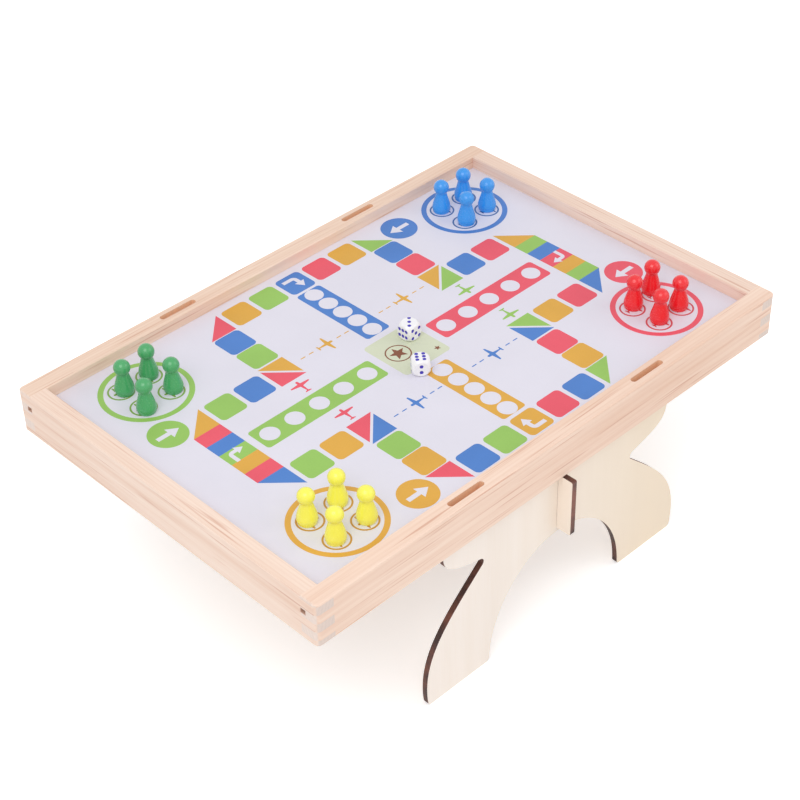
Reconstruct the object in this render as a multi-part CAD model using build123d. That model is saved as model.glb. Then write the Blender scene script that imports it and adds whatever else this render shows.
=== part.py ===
from build123d import *
import math
import os

# A children's race board game on a small knock-down stand. A pine tray holds a panel with a
# printed sheet in a groove. The tray rests on two plywood leg panels, tied by a stretcher.
# Millimetres. X runs along the long rails, the near long rail faces -Y, +Z is up, and the
# origin is on the floor under the middle of the tray.

# Overall sizes
TOTAL_HEIGHT = 150.0        # floor to the top of the rails
BOARD_LENGTH = 408.0
BOARD_WIDTH = 275.0

# Pine rails
RAIL_HEIGHT = 32.0
RAIL_THICKNESS = 13.0
FINGER_WIDTH = 6.4          # one finger of the corner joints
FIRST_FINGER_DROP = 1.7     # part finger at the top edge, as the jig left it
CORNER_RADIUS = 3.5
ARRIS = 0.7                 # sanded edge

# Play panel and printed sheet in their groove
TRAY_DEPTH = 9.2            # rail top down to the printed sheet
PANEL_THICKNESS = 3.0
SHEET_THICKNESS = 0.3
GROOVE_DEPTH = 4.0
GROOVE_PLAY = 0.1           # spare height of the groove over panel and sheet
PANEL_EDGE_PLAY = 0.5       # spare width of the groove at each edge of the panel

# Mortises for the legs, the same in the top and the bottom of the long rails
SLOT_CENTRE_X = 80.9
SLOT_LENGTH = 29.0
SLOT_DEPTH = 8.0

# Plywood stand
PLY = 4.0
SLOT_PLAY = 0.3             # rail slot wider than the plywood by this
TENON_END_PLAY = 0.4        # at each end of a tenon, beside the slot's round end
TENON_TIP_PLAY = 1.0        # slot deeper than the tenon by this
LAP_PLAY = 0.3              # stretcher slots wider than the plywood by this
WING_HALF = 102.0           # half length of the leg panel along the rail
WING_DROP = 25.3            # rail down to where the wing meets the leg
CROTCH_HALF = 67.5          # half distance between the two crotches
CROTCH_OPENING = 6.0
LEG_HALF = 116.5            # half distance over the widest part of the legs
LEG_WIDEST_HEIGHT = 13.5
FOOT_OUTER_HALF = 115.2
FOOT_INNER_HALF = 61.5
FOOT_EDGE_RADIUS = 3.0
WING_EDGE_FULLNESS = 0.72   # how the wing's curved edge hangs, as shares of its drop and reach
WING_EDGE_REACH = 0.36
WING_EDGE_SWEEP = 0.2
LEG_EDGE_REACH = 0.61       # how the leg's outer edge runs out, as shares of its reach and drop
LEG_EDGE_PULL = 0.4
TENON_ROOT = 1.0            # tenons run this far into the panel when it is drawn
ARCH_HEIGHT = 70.4
STRETCHER_DEPTH = 43.0
STRETCHER_GAP = 1.0         # stretcher top below the rails
STRETCHER_HORN = 11.5       # stretcher beyond the leg panel's face
HORN_RADIUS = 1.2

# Pawns, turned as one piece
PAWN_HEIGHT = 24.8
PAWN_HEAD_RADIUS = 5.15
PAWN_NECK_RADIUS = 3.75
PAWN_NECK_HEIGHT = 15.3
PAWN_BELLY_RADIUS = 6.45
PAWN_BELLY_HEIGHT = 5.0
PAWN_FOOT_RADIUS = 5.5
PAWN_FOOT_HEIGHT = 0.8      # the rounded lip of the foot
PAWN_FOOT_BULGE = 0.5       # the lip's radius on its way from foot to belly, as a share
PAWN_SKIRT_HEIGHT = 2.5     # where the lip has grown nearly to the belly
PAWN_SKIRT_INSET = 0.15
PAWN_WAIST_POWER = 1.8      # how late the belly draws in to the neck
PAWN_COLLAR = 0.27          # the head starts this much wider than the neck
PAWN_HEAD_FLAT = 0.6        # radius of the tiny flat on top
PAWN_SIDES = 16             # flats round the turned form, few because there are many pawns
BELLY_STEPS = 4
HEAD_STEPS = 6

# Dice
DIE_SIZE = 12.0
DIE_BEVEL = 1.7             # flat bevels stand for the rounded edges
PIP_PITCH = 3.0
PIP_PITCH_OF_TWO = 1.86     # half the distance between the pips of a two
PIP_PITCH_OF_SIX = 2.25     # half the distance between the rows of a six
PIP_RADIUS = 1.05
PIP_TIP_RADIUS = 0.4
PIP_DEPTH = 0.45
PIP_SIDES = 8

# Where the loose pieces stand in the tray, each pawn a little off the ring printed for it
HOME_END_INSET = 60.0       # from the board's end to the middle of a home ring
HOME_SIDE_INSET = 50.5      # from the board's long side to the middle of a home ring
PAWN_SPOTS = {
    "green": ((-11.0, -15.7), (-8.9, 9.0), (14.0, -11.1), (12.0, 11.2)),
    "blue": ((-8.9, -9.9), (-10.2, 13.5), (14.0, -8.0), (12.0, 13.5)),
    "red": ((-6.4, -8.0), (-6.2, 14.2), (14.0, -7.6), (15.3, 17.2)),
    "yellow": ((-9.5, -11.7), (-10.3, 11.5), (15.0, -11.6), (13.2, 11.2)),
}
HOME_SIDES = {"green": (-1, 1), "blue": (1, 1), "red": (1, -1), "yellow": (-1, -1)}
DIE_SPOTS = (
    ("die_1", 12.0, 9.5, 1.5, {"top": 3, "left": 6, "front": 5, "bottom": 4, "right": 1, "back": 2}),
    ("die_2", -9.2, -21.9, -37.6, {"top": 6, "front": 2, "back": 5, "bottom": 1, "left": 3, "right": 4}),
)

# Worked out from the sizes above
RAIL_BOTTOM = TOTAL_HEIGHT - RAIL_HEIGHT
SHEET_TOP = TOTAL_HEIGHT - TRAY_DEPTH
GROOVE_HEIGHT = PANEL_THICKNESS + SHEET_THICKNESS + GROOVE_PLAY
PANEL_BOTTOM = SHEET_TOP - SHEET_THICKNESS - PANEL_THICKNESS
RAIL_LINE_Y = (BOARD_WIDTH - RAIL_THICKNESS) / 2
RAIL_LINE_X = (BOARD_LENGTH - RAIL_THICKNESS) / 2
SLOT_WIDTH = PLY + SLOT_PLAY
TENON_LENGTH = SLOT_LENGTH - SLOT_WIDTH - 2 * TENON_END_PLAY
TENON_HEIGHT = SLOT_DEPTH - TENON_TIP_PLAY
STRETCHER_TOP = RAIL_BOTTOM - STRETCHER_GAP
STRETCHER_BOTTOM = STRETCHER_TOP - STRETCHER_DEPTH
LAP_HEIGHT = (STRETCHER_TOP + STRETCHER_BOTTOM) / 2
STRETCHER_LENGTH = 2 * (RAIL_LINE_Y + PLY / 2 + STRETCHER_HORN)
HOME_X = BOARD_LENGTH / 2 - HOME_END_INSET
HOME_Y = BOARD_WIDTH / 2 - HOME_SIDE_INSET


def block(x0, x1, y0, y1, z0, z1):
    """A plain block between two corners."""
    middle = ((x0 + x1) / 2, (y0 + y1) / 2, (z0 + z1) / 2)
    return Pos(*middle) * Box(x1 - x0, y1 - y0, z1 - z0)


def finger_bands():
    """Heights of the end rails' fingers, from the top of the rail down."""
    bands = []
    top = TOTAL_HEIGHT - FIRST_FINGER_DROP
    while top > RAIL_BOTTOM:
        bands.append((max(top - FINGER_WIDTH, RAIL_BOTTOM), top))
        top -= 2 * FINGER_WIDTH
    return bands


def sanded_frame():
    """The outer shape that the glued frame was sanded to, with the open middle taken out."""
    outer = block(-BOARD_LENGTH / 2, BOARD_LENGTH / 2, -BOARD_WIDTH / 2, BOARD_WIDTH / 2,
                  RAIL_BOTTOM, TOTAL_HEIGHT)
    outer = fillet(outer.edges().filter_by(Axis.Z), CORNER_RADIUS)
    rims = outer.faces().filter_by(Axis.Z).edges()
    outer = chamfer(rims, ARRIS)
    inner_x = BOARD_LENGTH / 2 - RAIL_THICKNESS
    inner_y = BOARD_WIDTH / 2 - RAIL_THICKNESS
    outer -= block(-inner_x, inner_x, -inner_y, inner_y, RAIL_BOTTOM, TOTAL_HEIGHT)
    for height, grows in ((TOTAL_HEIGHT, -1), (RAIL_BOTTOM, 1)):
        wide = Plane.XY.offset(height) * Rectangle(2 * (inner_x + ARRIS), 2 * (inner_y + ARRIS))
        narrow = Plane.XY.offset(height + grows * ARRIS) * Rectangle(2 * inner_x, 2 * inner_y)
        outer -= loft([wide.face(), narrow.face()], ruled=True)
    return outer


def panel_groove():
    """The space that the groove leaves for panel and sheet, right round the frame."""
    half_x = BOARD_LENGTH / 2 - RAIL_THICKNESS + GROOVE_DEPTH
    half_y = BOARD_WIDTH / 2 - RAIL_THICKNESS + GROOVE_DEPTH
    return half_x, half_y, PANEL_BOTTOM, PANEL_BOTTOM + GROOVE_HEIGHT


def long_rail(side, frame):
    """A long rail: fingers at both ends, a groove, and two mortises in its top and its bottom."""
    end = BOARD_LENGTH / 2
    y_mid = side * RAIL_LINE_Y
    half = RAIL_THICKNESS / 2
    rail = block(-end, end, y_mid - half, y_mid + half, RAIL_BOTTOM, TOTAL_HEIGHT)
    for low, high in finger_bands():
        for x0, x1 in ((-end, -end + RAIL_THICKNESS), (end - RAIL_THICKNESS, end)):
            rail -= block(x0, x1, y_mid - half, y_mid + half, low, high)
    _, half_y, groove_low, groove_high = panel_groove()
    inner = BOARD_WIDTH / 2 - RAIL_THICKNESS
    y_low, y_high = sorted((side * inner, side * half_y))
    rail -= block(-end, end, y_low, y_high, groove_low, groove_high)
    for slot_x in (-SLOT_CENTRE_X, SLOT_CENTRE_X):
        for floor in (TOTAL_HEIGHT - SLOT_DEPTH, RAIL_BOTTOM):
            outline = Plane.XY.offset(floor) * Pos(slot_x, y_mid) * SlotOverall(SLOT_LENGTH, SLOT_WIDTH)
            rail -= extrude(outline, SLOT_DEPTH)
    return rail & frame


def end_rail(side, frame):
    """An end rail: it keeps the fingers that the long rails leave out, and has the same groove."""
    end = BOARD_WIDTH / 2
    x_mid = side * RAIL_LINE_X
    half = RAIL_THICKNESS / 2
    middle = end - RAIL_THICKNESS
    rail = block(x_mid - half, x_mid + half, -middle, middle, RAIL_BOTTOM, TOTAL_HEIGHT)
    for low, high in finger_bands():
        rail += block(x_mid - half, x_mid + half, -end, end, low, high)
    half_x, _, groove_low, groove_high = panel_groove()
    inner = BOARD_LENGTH / 2 - RAIL_THICKNESS
    x_low, x_high = sorted((side * inner, side * half_x))
    rail -= block(x_low, x_high, -middle, middle, groove_low, groove_high)
    return rail & frame


def board_sheet(low, thickness):
    """The play panel or its printed sheet, reaching into the groove on all four sides."""
    half_x, half_y, _, _ = panel_groove()
    return block(-half_x + PANEL_EDGE_PLAY, half_x - PANEL_EDGE_PLAY,
                 -half_y + PANEL_EDGE_PLAY, half_y - PANEL_EDGE_PLAY, low, low + thickness)


def half_leg_outline():
    """Right half of the leg panel in its own plane, as one closed face."""
    crotch = RAIL_BOTTOM - WING_DROP
    lip = CROTCH_OPENING / 2
    wing_tip = (WING_HALF, RAIL_BOTTOM - lip)
    wing_root = (CROTCH_HALF + lip, crotch)
    leg_root = (CROTCH_HALF + lip / 2, crotch - CROTCH_OPENING)
    widest = (LEG_HALF, LEG_WIDEST_HEIGHT)
    drop = crotch - LEG_WIDEST_HEIGHT
    reach = LEG_HALF - CROTCH_HALF
    wing = WING_HALF - CROTCH_HALF
    with BuildSketch() as half:
        with BuildLine():
            Polyline((0, RAIL_BOTTOM), (WING_HALF, RAIL_BOTTOM), wing_tip)
            Bezier(wing_tip, (WING_HALF, RAIL_BOTTOM - WING_EDGE_FULLNESS * WING_DROP),
                   (WING_HALF - WING_EDGE_REACH * wing, crotch + WING_EDGE_SWEEP * WING_DROP), wing_root)
            ThreePointArc(wing_root, (CROTCH_HALF, crotch - lip), leg_root)
            Bezier(leg_root, (CROTCH_HALF + LEG_EDGE_REACH * reach, crotch - LEG_EDGE_PULL * drop),
                   (LEG_HALF, LEG_WIDEST_HEIGHT + LEG_EDGE_PULL * drop), widest)
            TangentArc(widest, (FOOT_OUTER_HALF, 0), tangent=(0, -1))
            Line((FOOT_OUTER_HALF, 0), (FOOT_INNER_HALF, 0))
            EllipticalCenterArc((0, 0), FOOT_INNER_HALF, ARCH_HEIGHT, arc_size=90)
            Line((0, ARCH_HEIGHT), (0, RAIL_BOTTOM))
        make_face()
    foot_corners = half.vertices().group_by(Axis.Y)[0].filter_by(lambda corner: corner.X > 0)
    return fillet(foot_corners, FOOT_EDGE_RADIUS)


def leg_panel(side):
    """A plywood leg panel: wings, two legs round an arch, two tenons and the stretcher's slot."""
    half = half_leg_outline()
    sketch = half + mirror(half, about=Plane.YZ)
    for x in (-SLOT_CENTRE_X, SLOT_CENTRE_X):
        tenon = Rectangle(TENON_LENGTH, TENON_HEIGHT + TENON_ROOT)
        sketch += Pos(x, RAIL_BOTTOM + (TENON_HEIGHT - TENON_ROOT) / 2) * tenon
    slot_depth = RAIL_BOTTOM - LAP_HEIGHT
    sketch -= Pos(0, RAIL_BOTTOM - slot_depth / 2) * Rectangle(PLY + LAP_PLAY, slot_depth)
    upright = Plane(origin=(0, side * RAIL_LINE_Y + PLY / 2, 0), x_dir=(1, 0, 0), z_dir=(0, -1, 0))
    return extrude(upright * sketch, PLY)


def cross_stretcher():
    """The plywood stretcher, slotted from below where it drops over the two leg panels."""
    half = STRETCHER_LENGTH / 2
    board = block(-PLY / 2, PLY / 2, -half, half, STRETCHER_BOTTOM, STRETCHER_TOP)
    board = fillet(board.edges().filter_by(Axis.X), HORN_RADIUS)
    notch = (PLY + LAP_PLAY) / 2
    for y in (-RAIL_LINE_Y, RAIL_LINE_Y):
        board -= block(-PLY, PLY, y - notch, y + notch, STRETCHER_BOTTOM, LAP_HEIGHT)
    return board


def pawn_profile():
    """Heights and radii up the pawn: rounded foot, belly, waist, then a ball for the head."""
    lip = PAWN_FOOT_RADIUS + PAWN_FOOT_BULGE * (PAWN_BELLY_RADIUS - PAWN_FOOT_RADIUS)
    rings = [(0.0, PAWN_FOOT_RADIUS), (PAWN_FOOT_HEIGHT, lip),
             (PAWN_SKIRT_HEIGHT, PAWN_BELLY_RADIUS - PAWN_SKIRT_INSET)]
    rise = PAWN_NECK_HEIGHT - PAWN_BELLY_HEIGHT
    for step in range(BELLY_STEPS + 1):
        along = step / BELLY_STEPS
        drawn_in = (PAWN_BELLY_RADIUS - PAWN_NECK_RADIUS) * along ** PAWN_WAIST_POWER
        radius = PAWN_BELLY_RADIUS - drawn_in
        rings.append((PAWN_BELLY_HEIGHT + rise * along, radius))
    centre = PAWN_HEIGHT - PAWN_HEAD_RADIUS
    start = -math.acos(PAWN_NECK_RADIUS / PAWN_HEAD_RADIUS + PAWN_COLLAR / PAWN_HEAD_RADIUS)
    for step in range(HEAD_STEPS):
        angle = start + (math.pi / 2 - start) * step / HEAD_STEPS
        rings.append((centre + PAWN_HEAD_RADIUS * math.sin(angle), PAWN_HEAD_RADIUS * math.cos(angle)))
    rings.append((PAWN_HEIGHT, PAWN_HEAD_FLAT))
    return rings


def turned(rings, sides):
    """A turned solid with flats round it: a polygon at each ring, joined by flat facets."""
    points = []
    for height, radius in rings:
        turn = [2 * math.pi * side / sides for side in range(sides)]
        points.append([Vector(radius * math.cos(a), radius * math.sin(a), height) for a in turn])
    faces = [Face(Wire.make_polygon(points[0], close=True)), Face(Wire.make_polygon(points[-1], close=True))]
    for lower, upper in zip(points, points[1:]):
        for side in range(sides):
            after = (side + 1) % sides
            corners = [lower[side], lower[after], upper[after], upper[side]]
            faces.append(Face(Wire.make_polygon(corners, close=True)))
    return Solid(Shell(faces))


def pip_spots(count):
    """Places of the pips on a face, in the usual patterns."""
    p = PIP_PITCH
    spots = {
        1: [(0, 0)],
        2: [(0, -PIP_PITCH_OF_TWO), (0, PIP_PITCH_OF_TWO)],
        3: [(-p, -p), (0, 0), (p, p)],
        4: [(-p, -p), (-p, p), (p, -p), (p, p)],
        5: [(-p, -p), (-p, p), (p, -p), (p, p), (0, 0)],
        6: [(x, y) for x in (-PIP_PITCH_OF_SIX, PIP_PITCH_OF_SIX) for y in (-p, 0, p)],
    }
    return spots[count]


def die(numbers):
    """A bevelled die with a dent for each pip, centred on the origin."""
    body = chamfer(Box(DIE_SIZE, DIE_SIZE, DIE_SIZE).edges(), DIE_BEVEL)
    drill = turned([(-PIP_DEPTH, PIP_TIP_RADIUS), (0.0, PIP_RADIUS)], PIP_SIDES)
    half = DIE_SIZE / 2
    planes = {
        "top": Plane((0, 0, half), x_dir=(1, 0, 0), z_dir=(0, 0, 1)),
        "bottom": Plane((0, 0, -half), x_dir=(1, 0, 0), z_dir=(0, 0, -1)),
        "front": Plane((0, -half, 0), x_dir=(1, 0, 0), z_dir=(0, -1, 0)),
        "back": Plane((0, half, 0), x_dir=(-1, 0, 0), z_dir=(0, 1, 0)),
        "left": Plane((-half, 0, 0), x_dir=(0, 0, 1), z_dir=(-1, 0, 0)),
        "right": Plane((half, 0, 0), x_dir=(0, 0, -1), z_dir=(1, 0, 0)),
    }
    dents = []
    for name, plane in planes.items():
        for x, y in pip_spots(numbers[name]):
            dents.append(plane * Pos(x, y) * drill)
    return body - dents


def build():
    """Every piece by its name."""
    frame = sanded_frame()
    pieces = {
        "front_long_rail": long_rail(-1, frame),
        "rear_long_rail": long_rail(1, frame),
        "left_end_rail": end_rail(-1, frame),
        "right_end_rail": end_rail(1, frame),
        "play_panel": board_sheet(PANEL_BOTTOM, PANEL_THICKNESS),
        "printed_sheet": board_sheet(PANEL_BOTTOM + PANEL_THICKNESS, SHEET_THICKNESS),
        "front_leg_panel": leg_panel(-1),
        "rear_leg_panel": leg_panel(1),
        "cross_stretcher": cross_stretcher(),
    }
    for colour, spots in PAWN_SPOTS.items():
        side_x, side_y = HOME_SIDES[colour]
        for number, (x, y) in enumerate(spots, 1):
            place = Pos(side_x * HOME_X + x, side_y * HOME_Y + y, SHEET_TOP)
            pieces[f"pawn_{colour}_{number}"] = place * turned(pawn_profile(), PAWN_SIDES)
    for name, x, y, turn, numbers in DIE_SPOTS:
        pieces[name] = Pos(x, y, SHEET_TOP + DIE_SIZE / 2) * Rot(0, 0, turn) * die(numbers)
    return pieces


os.makedirs("parts", exist_ok=True)
for piece_name, piece in build().items():
    piece.label = piece_name
    export_step(piece, f"parts/{piece_name}.step")
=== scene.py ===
import bmesh
import bpy
import math
from mathutils import Matrix, Vector


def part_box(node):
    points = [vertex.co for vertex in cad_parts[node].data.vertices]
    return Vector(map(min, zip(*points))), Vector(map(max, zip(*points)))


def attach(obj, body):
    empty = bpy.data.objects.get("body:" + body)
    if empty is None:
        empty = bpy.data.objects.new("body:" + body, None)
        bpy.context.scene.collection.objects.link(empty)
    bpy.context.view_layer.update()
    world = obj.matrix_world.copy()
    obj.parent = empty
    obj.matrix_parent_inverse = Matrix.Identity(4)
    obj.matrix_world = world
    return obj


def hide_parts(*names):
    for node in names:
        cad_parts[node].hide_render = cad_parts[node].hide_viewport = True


bl_info = {
    "name": "Tabletop race board game",
    "version": (1, 0, 0),
    "blender": (4, 5, 0),
    "location": "View3D > Sidebar > Race game",
    "description": "Dresses the race board, its plywood stand, the pawns and the dice",
    "category": "Object",
}

# The frame is loaded at the top, so that every size below can be taken from it.
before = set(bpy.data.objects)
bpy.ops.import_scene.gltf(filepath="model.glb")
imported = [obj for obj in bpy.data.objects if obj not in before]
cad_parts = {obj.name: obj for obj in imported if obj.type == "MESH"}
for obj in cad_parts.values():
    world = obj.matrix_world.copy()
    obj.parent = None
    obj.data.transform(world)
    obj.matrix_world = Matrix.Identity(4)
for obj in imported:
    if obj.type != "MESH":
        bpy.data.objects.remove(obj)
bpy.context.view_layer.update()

MM = 0.001
SHEET_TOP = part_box("printed_sheet")[1].z
# For each rail: the way the grain runs, where its pith lies, the tone of its sides (partly painted shade),
# and the tone of its ends
RAIL_TIMBER = {
    "front_long_rail": ("x", (0, 0.02, -0.085), (1.0, 0.965, 0.95), (1.04, 0.99, 0.98)),
    # The rear rail's sides are darkened: painted shade
    "rear_long_rail": ("x", (0, 0.051, -0.085), (0.96, 0.925, 0.895), (1.04, 0.99, 0.98)),
    "left_end_rail": ("y", (0.017, 0, -0.097), (1.01, 1.02, 1.04), (0.95, 0.89, 0.88)),
    "right_end_rail": ("y", (-0.033, 0, -0.097), (0.975, 0.965, 0.975), (0.94, 0.89, 0.88)),
}
LEG_PANELS = ("front_leg_panel", "rear_leg_panel")
PAWN_COLOURS = ("green", "blue", "red", "yellow")
PAWNS_PER_COLOUR = 4
AXES = {"x": 0, "y": 1, "z": 2}

# The home lanes on the print: middle, length, and circle to circle
LANE_LINE = -0.6 * MM   # the two lanes across the board stand a little left of the print's middle
LANES = {
    "green": ((-77.4 * MM, 0), 102.0 * MM, 20.6 * MM),
    "red": ((76.7 * MM, 0), 102.0 * MM, 20.6 * MM),
    "blue": ((LANE_LINE, 59.9 * MM), 68.8 * MM, 13.9 * MM),
    "orange": ((LANE_LINE, -59.4 * MM), 68.8 * MM, 13.9 * MM),
}
CIRCLES_PER_LANE = 5

# Painted shade in the leg slots, whose walls take a browner pine colour; and the darker wood where the
# groove comes out at the rail ends
SLOT_X = (66.3 * MM, 95.5 * MM)
SLOT_Y = (128.8 * MM, 133.2 * MM)
SLOT_TOP_Z = (141.9 * MM, 149.9 * MM)
SLOT_BOTTOM_Z = (118.1 * MM, 126.1 * MM)
GROOVE_END_X = (190.9 * MM, 204.1 * MM)
GROOVE_Y = (124.3 * MM, 128.7 * MM)
GROOVE_Z = (137.4 * MM, 141.0 * MM)

PLY_GRAIN = "z"
PLY_LAYER = 4 * MM / 3  # thickness of one of the three veneers
PLY_SHADE_X = (-0.06, 0.09)  # where the veneer turns darker and yellower towards +X: painted shade

# The print: in each quarter its side, its way up the board, and the colours of its two fields
QUARTERS = ((-1, 1, ("blue", "green")), (1, 1, ("blue", "red")),
            (-1, -1, ("orange", "green")), (1, -1, ("orange", "red")))
HOME_CORNERS = {"green": (-1, 1), "blue": (1, 1), "red": (1, -1), "orange": (-1, -1)}
END_DISC = (162.0 * MM, 44.4 * MM)      # the start discs near the ends, and near the long sides
SIDE_DISC = (95.7 * MM, 104.0 * MM)
END_ARROW, SIDE_ARROW = 12.6 * MM, 14.0 * MM    # sizes of the bent arrows
SPOT_PLANE = 11.5 * MM
FLIGHT_PLANE = 13.0 * MM
FLIGHTS = {"orange": (41.6 * MM, 0), "blue": (-43.0 * MM, 180)}     # place across, and turn
FLIGHT_MIDDLE, FLIGHT_REACH = 1.0 * MM, 34.8 * MM
FLIGHT_DASHES = (-19.1 * MM, -12.3 * MM, 12.1 * MM, 19.2 * MM)      # from a plane's middle
DASH_LENGTH, DASH_WIDTH, DASH_CORNER = 4.0 * MM, 0.8 * MM, 0.3 * MM
CLIMBS = {"red": (-1, 90), "green": (1, -90)}       # side, and turn
CLIMB_PLACE = (73.3 * MM, 20.0 * MM)
CENTRE_MIDDLE, CENTRE_SIDE, CENTRE_CORNER = (-0.3 * MM, 0.3 * MM), 40.4 * MM, 3.0 * MM
STAR_MIDDLE, STAR_OUTER, STAR_INNER = (-7.5 * MM, 1.0 * MM), 6.4 * MM, 2.8 * MM
STAR_RING, STAR_RING_LINE = 8.8 * MM, 0.9 * MM
SMALL_STAR_PLACE, SMALL_STAR_OUTER, SMALL_STAR_INNER = (14.0 * MM, 13.0 * MM), 2.4 * MM, 1.1 * MM
RING_TONE = (0.74, 0.7, 0.64)       # the pawn rings' ink, from the ink of their home

FOOT_LIP = 0.5 * MM     # rounding under a pawn
PAWN_SIDES = 80
DIE_CELLS = 48          # squares along a die's edge

FLOOR_REACH = 6.0
FLOOR_GLOW = 0.44       # what the floor gives out to the rays that see a white background
LAMPS = (("key_lamp", (-0.9, -0.5, 1.5), 1.3, 10.0), ("side_lamp", (1.1, -1.2, 1.2), 1.2, 4.0))


def srgb(red, green, blue):
    """A colour as seen, 0 to 255, turned into the linear values that shaders use."""
    def linear(value):
        value /= 255
        return value / 12.92 if value <= 0.04045 else ((value + 0.055) / 1.055) ** 2.4
    return linear(red), linear(green), linear(blue)


def length_property(name, millimetres, description):
    """A length that shows in the panel, with its default in millimetres."""
    return bpy.props.FloatProperty(name=name, description=description, default=millimetres * MM,
                                   subtype="DISTANCE", unit="LENGTH", precision=4)


def angle_property(name, degrees, description):
    """An angle that shows in the panel, with its default in degrees."""
    return bpy.props.FloatProperty(name=name, description=description, default=math.radians(degrees),
                                   subtype="ANGLE", unit="ROTATION")


def colour_property(name, default, description):
    """A colour that shows in the panel."""
    return bpy.props.FloatVectorProperty(name=name, description=description, default=srgb(*default),
                                         size=3, min=0, max=1, subtype="COLOR")


class TimberSettings(bpy.types.PropertyGroup):
    """Colours and grain of the pine rails and of the plywood stand."""
    pine_early: colour_property("Pine, early wood", (251, 228, 211), "Pale wood between the growth lines")
    pine_late: colour_property("Pine, late wood", (233, 197, 174), "Growth lines and darker streaks")
    pine_end: colour_property("Pine, end grain", (236, 222, 212), "Cut ends of the rails and fingers")
    # Painted shade: the browner colour of the slot walls
    pine_cut: colour_property("Pine, slot walls", (244, 203, 170), "Wood that the slot cutter rubbed brown")
    # A darker colour where the groove comes out at the rail ends
    pine_burn: colour_property("Pine, groove end", (214, 178, 158), "Wood that the groove cutter burnt")
    ring_spacing: length_property("Growth ring", 2.4, "Distance between growth lines")
    ply_face: colour_property("Birch face", (253, 243, 235), "Veneer on the faces of the plywood")
    # Painted shade: the darker, yellower veneer towards +X
    ply_face_shaded: colour_property("Birch face, warm", (247, 230, 207), "Yellower veneer to the right")
    ply_streak: colour_property("Birch streak", (240, 223, 204), "Faint grain in the veneer")
    scorch: colour_property("Scorched edge", (50, 30, 27), "Edge that the laser burnt")
    scorch_brown: colour_property("Scorched edge, lighter", (132, 78, 62), "Lighter patches of the burn")


class PrintSettings(bpy.types.PropertyGroup):
    """Sizes of the printed race track, and the colours of paper and inks."""
    shift_x: length_property("Shift along", 2.0, "Middle of the print, from the middle of the tray")
    shift_y: length_property("Shift across", 1.0, "Middle of the print, from the middle of the tray")
    turn: angle_property("Turn", 0.48, "How far the print is turned on its panel")
    cell: length_property("Field", 20.8, "Side of a printed field")
    cell_corner: length_property("Field corner", 3.4, "Corner radius of a printed field")
    pitch_x: length_property("Pitch along", 24.0, "Field to field, along the board")
    pitch_y: length_property("Pitch across", 21.4, "Field to field, across the board")
    arm_y: length_property("Side arm", 39.5, "Middle of the side arms, from the middle of the print")
    inner_pair: length_property("Inner corner", 52.4, "Outer edge of the inner corner fields")
    lane_width: length_property("Lane width", 20.5, "Width of a home lane")
    lane_corner: length_property("Lane corner", 2.4, "Corner radius of a home lane")
    lane_hole: length_property("Lane circle", 6.5, "Radius of the white circles in the lanes")
    home_x: length_property("Home ring along", 144.4, "Middle of a home ring")
    home_y: length_property("Home ring across", 87.2, "Middle of a home ring")
    home_radius: length_property("Home ring", 30.6, "Outer radius of a home ring")
    home_line: length_property("Home ring line", 3.7, "Width of the home ring's line")
    spot_radius: length_property("Pawn ring", 8.8, "Outer radius of the small ring round a pawn")
    spot_line: length_property("Pawn ring line", 1.2, "Width of the small ring's line")
    spot_offset: length_property("Pawn ring place", 11.2, "Small ring from the middle of the home ring")
    start_radius: length_property("Start disc", 13.1, "Radius of a start disc")
    ink: length_property("Ink", 0.04, "Thickness of one printed layer")
    paper: colour_property("Paper", (229, 226, 238), "Ground of the printed sheet")
    blue: colour_property("Blue ink", (80, 132, 208), "Blue fields")
    red: colour_property("Red ink", (240, 92, 110), "Red fields")
    orange: colour_property("Orange ink", (229, 174, 72), "Orange fields")
    green: colour_property("Green ink", (156, 202, 100), "Green fields")
    centre: colour_property("Centre tint", (219, 224, 198), "Pale field in the middle")
    brown: colour_property("Brown ink", (139, 84, 58), "Ornament in the middle")


class PawnSettings(bpy.types.PropertyGroup):
    """The turned form of a pawn, and the four colours."""
    head_radius: length_property("Head", 5.38, "Radius of the ball on top")
    neck_radius: length_property("Neck", 3.75, "Radius of the neck")
    neck_height: length_property("Neck height", 15.3, "Height of the neck")
    belly_radius: length_property("Belly", 6.45, "Radius of the belly")
    belly_height: length_property("Belly height", 3.9, "Height of the belly")
    foot_radius: length_property("Foot", 5.9, "Radius of the foot")
    collar: length_property("Collar", 0.7, "How softly the neck runs into the ball")
    green: colour_property("Green pawn", (74, 170, 104), "Green pawns")
    blue: colour_property("Blue pawn", (54, 156, 242), "Blue pawns")
    red: colour_property("Red pawn", (246, 34, 44), "Red pawns")
    yellow: colour_property("Yellow pawn", (255, 251, 92), "Yellow pawns")


class DiceSettings(bpy.types.PropertyGroup):
    """Form and colours of the dice."""
    edge_radius: length_property("Edge", 1.6, "Radius along the edges")
    ball_radius: length_property("Ball", 7.85, "Radius of the ball that rounds the corners")
    pip_radius: length_property("Pip", 1.25, "Radius of a pip")
    pip_depth: length_property("Pip depth", 0.35, "Depth of a pip")
    pip_pitch: length_property("Pip pitch", 3.0, "Middle pip to outer pip")
    body: colour_property("Die", (248, 247, 250), "Body of the dice")
    pip: colour_property("Pip paint", (68, 54, 182), "Paint in the pips")


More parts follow.
